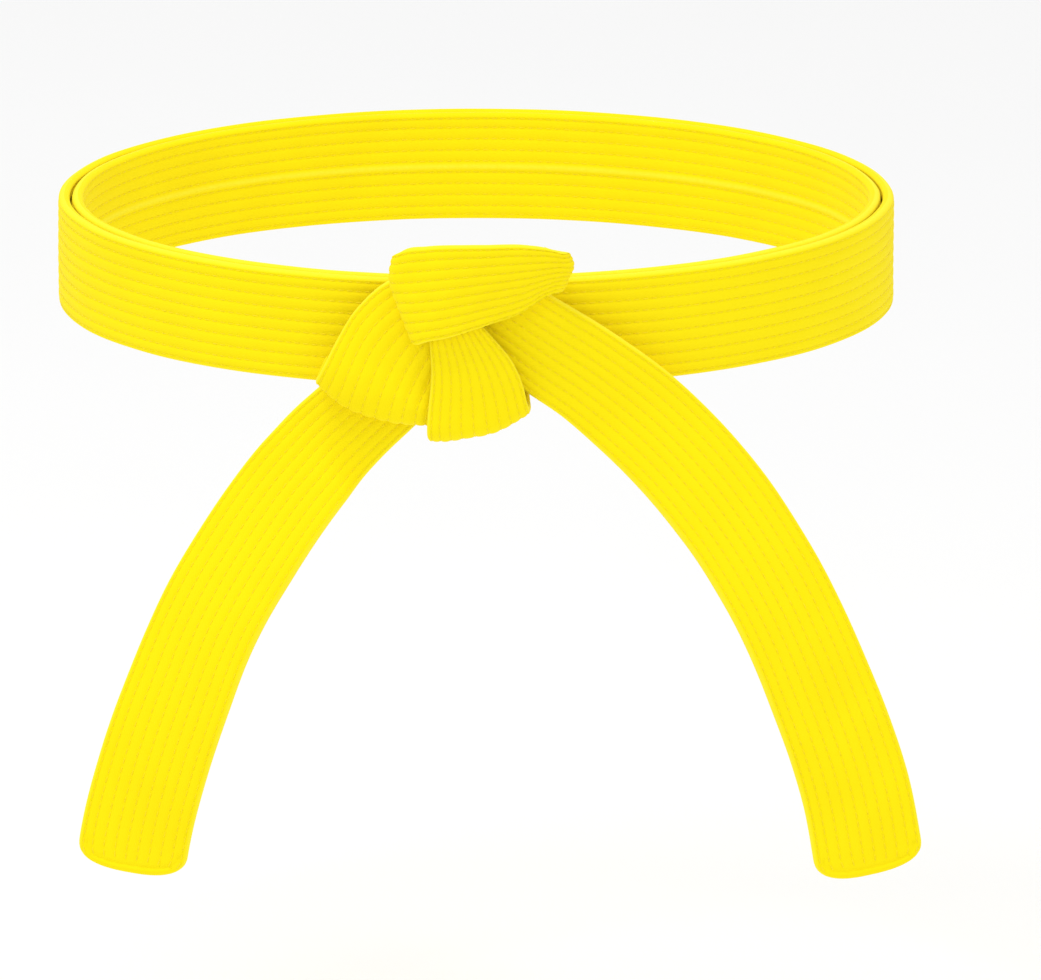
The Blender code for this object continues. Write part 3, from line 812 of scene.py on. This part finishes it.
# The selvages are rubbed paler between these distances from the strap's middle, in metres
RUBBED_FROM = 0.0185
RUBBED_TO = 0.0200

# Noise scales: the dye, the slubs in the cloth, the fibres and the dye of the thread
DYE_SCALE = 22.0
SLUB_SCALE = 700.0
FIBRE_SCALE = 1400.0
THREAD_DYE_SCALE = 60.0


def woven_height(nodes, along, across):
    """The twill's ribs with the weft across them, from 0 to 1."""
    turn = 2 * math.pi / TWILL_PITCH
    slant_along = nodes.maths("MULTIPLY", along, turn * TWILL_ALONG)
    slant_across = nodes.maths("MULTIPLY", across, turn * TWILL_ACROSS)
    rib = nodes.spread(nodes.wave(nodes.maths("ADD", slant_along, slant_across)), 0.5, 1.0)
    weft = nodes.wave(nodes.maths("MULTIPLY", along, turn * WEFT_RATE))
    return nodes.maths("MULTIPLY", rib, nodes.spread(weft, 0.7, 1.0))


def rubbed_edges(nodes, across):
    """0 on the strap's faces, rising to 1 at its selvages."""
    half = HALF_WIDTH * MM
    folded = nodes.maths("PINGPONG", nodes.maths("ADD", across, half), 2 * half)
    edge = nodes.maths("ABSOLUTE", nodes.maths("SUBTRACT", folded, half))
    rubbed = nodes.add("ShaderNodeMapRange", interpolation_type="SMOOTHSTEP")
    nodes.link(edge, rubbed.inputs[0])
    set_input(rubbed, "From Min", RUBBED_FROM)
    set_input(rubbed, "From Max", RUBBED_TO)
    return rubbed.outputs[0]


def cotton_cover():
    """Matt cotton drill: a fine twill with slubs and painted shade between its ribs, a little uneven
    dye, and edges rubbed paler.
    """
    nodes = Nodes("cotton_cover_cloth")
    parts = nodes.add("ShaderNodeSeparateXYZ")
    nodes.link(nodes.add("ShaderNodeUVMap", uv_map="strap").outputs[0], parts.inputs[0])
    along, across = parts.outputs[0], parts.outputs[1]
    weave = woven_height(nodes, along, across)
    place = nodes.add("ShaderNodeTexCoord").outputs["Object"]
    dye = nodes.noise(place, DYE_SCALE, 3.0)
    slub = nodes.noise(place, SLUB_SCALE, 2.0)
    wear = nodes.maths("MULTIPLY", rubbed_edges(nodes, across), nodes.spread(slub, 0.2, 0.9))
    # Painted shade: the twill's valleys between the ribs are painted darker, towards YELLOW_DEEP,
    # together with the uneven dye.
    painted_shade_between_ribs = nodes.maths("MULTIPLY", nodes.maths("SUBTRACT", 1.0, weave), 0.45)
    uneven = nodes.maths("ABSOLUTE", nodes.maths("SUBTRACT", dye, 0.5))
    shade = nodes.maths("ADD", painted_shade_between_ribs, nodes.maths("MULTIPLY", uneven, 1.2), clamp=True)
    colour = nodes.mix(shade, YELLOW, YELLOW_DEEP)
    colour = nodes.mix(wear, colour, YELLOW_WORN)
    nodes.link(colour, nodes.shader.inputs["Base Color"])
    nodes.link(nodes.spread(slub, 0.72, 0.92), nodes.shader.inputs["Roughness"])
    set_input(nodes.shader, "Specular IOR Level", 0.15)
    set_input(nodes.shader, "Sheen Weight", 0.08)
    set_input(nodes.shader, "Sheen Roughness", 0.45)
    set_input(nodes.shader, "Sheen Tint", SHEEN_YELLOW)
    slubs = nodes.maths("MULTIPLY", slub, 0.6)
    height = nodes.maths("ADD", nodes.maths("MULTIPLY", weave, 0.7), slubs)
    nodes.bump(height, 0.35, 0.00012)
    return nodes.material


def stitching_thread():
    """Spun polyester-cotton thread: a twisted ply with a slight shine."""
    nodes = Nodes("stitching_thread")
    place = nodes.add("ShaderNodeTexCoord").outputs["Object"]
    fibre = nodes.noise(place, FIBRE_SCALE, 2.0)
    dye = nodes.maths("MULTIPLY", nodes.noise(place, THREAD_DYE_SCALE, 1.0), 0.3)
    shade = nodes.maths("ADD", nodes.maths("MULTIPLY", fibre, 0.6), dye, clamp=True)
    colour = nodes.mix(shade, THREAD_YELLOW, YELLOW_DEEP)
    nodes.link(colour, nodes.shader.inputs["Base Color"])
    nodes.link(nodes.spread(fibre, 0.5, 0.7), nodes.shader.inputs["Roughness"])
    set_input(nodes.shader, "Specular IOR Level", 0.3)
    set_input(nodes.shader, "Sheen Weight", 0.1)
    nodes.bump(fibre, 0.3, 0.0001)
    return nodes.material


def floor_material():
    """Plain matt white with a trace of mottling."""
    nodes = Nodes("studio_floor")
    place = nodes.add("ShaderNodeTexCoord").outputs["Object"]
    mottle = nodes.noise(place, 3.0, 2.0)
    colour = nodes.mix(mottle, FLOOR_GREY, FLOOR_WHITE)
    nodes.link(colour, nodes.shader.inputs["Base Color"])
    set_input(nodes.shader, "Roughness", 0.9)
    set_input(nodes.shader, "Specular IOR Level", 0.1)
    return nodes.material


# ---------------------------------------------------------------- creases


def waves(length, across, terms):
    """A sum of slanted waves over the strap, each as (size, wave length, slant, phase)."""
    total = 0.0 * length * across
    for size, wave, slant, phase in terms:
        total = total + size * np.sin(2 * math.pi * (length + slant * across) / wave + phase)
    return total


def knot_crease(length, across):
    """Slight slanted ruffles where the strap is pulled tight."""
    return waves(length, across, ((0.10, 13.0, 0.8, 0.4), (0.07, 7.5, -0.5, 1.9)))


def lap_crease(length, across):
    """The faint waviness of a stiff strap round the waist."""
    return waves(length, across, ((0.10, 61.0, 0.5, 0.0), (0.06, 37.0, -0.9, 1.3)))


def tail_crease(length, across):
    """The slow waviness of a hanging end."""
    return waves(length, across, ((0.10, 43.0, 0.7, 0.8), (0.07, 27.0, -0.8, 2.2)))


# ---------------------------------------------------------------- pieces


def even_stations(surface, step):
    """Values of t about step mm apart, closer where the strap bends."""
    fine = np.linspace(0.0, 1.0, FINE_STATIONS)
    points = surface(fine, 0 * fine)
    steps = np.diff(points, axis=0)
    lengths = np.linalg.norm(steps, axis=1)
    heads = unit(steps)
    turns = np.arccos(np.clip((heads[1:] * heads[:-1]).sum(axis=1), -1.0, 1.0))
    cost = lengths / step
    cost[1:] += turns / STATION_TURN
    total = np.concatenate(([0.0], np.cumsum(cost)))
    count = max(3, int(round(total[-1])))
    return np.interp(np.linspace(0.0, total[-1], count + 1), total, fine)


def still_stretch(name, surface, step, crease, sides, materials):
    """A stretch that rides on the waist loop, with its stitching."""
    stretch = Stretch(surface, even_stations(surface, step), crease=crease)
    strap = strap_mesh(name + "_strap", stretch, materials["cover"])
    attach(strap, "waist_loop")
    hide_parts(name + "_cover", name + "_core")
    thread = stitch_mesh(name + "_stitching", stretch, sides, materials["thread"])
    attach(thread, "waist_loop")


def tail_stretch(tail, k):
    """The k-th piece of a hanging end, from the middle of one link to the middle of the next."""
    start, end = tail.splits[k], tail.splits[k + 1]
    count = int((end - start) / STATION_STEP)
    places = np.linspace(start, end, count + 1)
    if k == TAIL_LINKS - 1:
        marks = tail.length - np.array(TIP_STATIONS)
        places = np.concatenate((places[places < marks[0] - 0.5], marks))
    return Stretch(
        tail.surface(start, end),
        (places - start) / (end - start),
        from_tip=tail.length - places,
        rounding=tail.rounding(places),
        crease=tail_crease,
        start=start,
    )


def tail_pieces(name, tail, materials):
    """The hanging end in as many pieces as it has joints, each reaching across one."""
    for k, joint in enumerate(tail.joints):
        stretch = tail_stretch(tail, k)
        heading = tail.heading(np.array([joint]))[0]
        middle = tail.centre(np.array([joint]))[0]
        label = f"{name}_bend_{k + 1}"
        last = k == TAIL_LINKS - 1
        strap = strap_mesh(label + "_strap", stretch, materials["cover"])
        thread = stitch_mesh(label + "_stitching", stretch, (1, -1), materials["thread"], last)
        for piece in (strap, thread):
            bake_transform(piece)
        stands_for = [f"{name}_{k + 1}_cover", f"{name}_{k + 1}_core"]
        if k == 0:
            stands_for += [name + "_root_cover", name + "_root_core"]
        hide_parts(*stands_for)


def belt():
    materials = {"cover": cotton_cover(), "thread": stitching_thread()}
    outer_depth = -HALF_THICKNESS
    inner_depth = outer_depth - BELT_THICKNESS - GAP
    still_stretch("outer_lap", lap_surface(outer_depth), LAP_STEP, lap_crease, (1,), materials)
    still_stretch("inner_lap", lap_surface(inner_depth), LAP_STEP, lap_crease, (-1,), materials)
    for name, surface in (
        ("knot_top_wrap", top_wrap_surface()),
        ("knot_left_wrap", left_wrap_surface()),
        ("knot_lower_wrap", lower_wrap_surface()),
    ):
        still_stretch(name, surface, STATION_STEP, knot_crease, (1, -1), materials)
    right_tail = Tail(RIGHT_TAIL_STOPS, 1, RIGHT_ROOT_DEPTH, RIGHT_FIRST_JOINT)
    tail_pieces("right_tail", right_tail, materials)
    left_tail = Tail(LEFT_TAIL_STOPS, -1, LEFT_ROOT_DEPTH, LEFT_FIRST_JOINT)
    tail_pieces("left_tail", left_tail, materials)


# ---------------------------------------------------------------- studio

# In metres and watts. The camera is far off with a long lens, so that the view has little perspective.
CAMERA_ELEVATION = math.radians(15.5)
CAMERA_DISTANCE = 12.533
CAMERA_LENS = 1200.0
CAMERA_SENSOR = 36.0
CAMERA_FAR_CLIP = 50.0
CAMERA_TARGET = (0.0161, -0.06, -0.0749)
FLOOR_DROP = 0.10
FLOOR_SIZE = 12.0
WORLD_WHITE = (1.0, 1.0, 1.0, 1.0)
WORLD_STRENGTH = 0.89
LIGHT_TARGET = (0.0, -0.05, -0.08)
LIGHTS = (
    ("key_light", (-0.7, -0.6, 2.2), 1.0, 17.0),
    ("fill_light", (1.6, -1.4, 0.8), 1.2, 2.6),
)


def studio():
    scene = bpy.context.scene
    scene.view_settings.view_transform = "Standard"
    world = bpy.data.worlds.new("studio_world")
    world.use_nodes = True
    background = world.node_tree.nodes["Background"]
    set_input(background, "Color", WORLD_WHITE)
    set_input(background, "Strength", WORLD_STRENGTH)
    scene.world = world
    bpy.ops.mesh.primitive_plane_add(
        size=FLOOR_SIZE, location=(0.0, 0.0, CAD_BOX[0][2] - FLOOR_DROP)
    )
    floor = bpy.context.object
    floor.name = "floor"
    floor.data.materials.append(floor_material())
    for name, place, size, power in LIGHTS:
        area_light(name, place, size, power)


def area_light(name, place, size, power):
    """A square area light that faces LIGHT_TARGET."""
    data = bpy.data.lights.new(name, "AREA")
    data.size = size
    data.energy = power
    light = bpy.data.objects.new(name, data)
    light.location = place
    aim = Vector(LIGHT_TARGET) - Vector(place)
    light.rotation_euler = aim.to_track_quat("-Z", "Y").to_euler()
    bpy.context.scene.collection.objects.link(light)


def camera():
    data = bpy.data.cameras.new("camera")
    data.lens = CAMERA_LENS
    data.sensor_width = CAMERA_SENSOR
    data.clip_end = CAMERA_FAR_CLIP
    item = bpy.data.objects.new("camera", data)
    back = Vector((0.0, -math.cos(CAMERA_ELEVATION), math.sin(CAMERA_ELEVATION)))
    item.location = Vector(CAMERA_TARGET) + back * CAMERA_DISTANCE
    item.rotation_euler = (math.pi / 2 - CAMERA_ELEVATION, 0.0, 0.0)
    bpy.context.scene.collection.objects.link(item)
    bpy.context.scene.camera = item


camera()
belt()
studio()
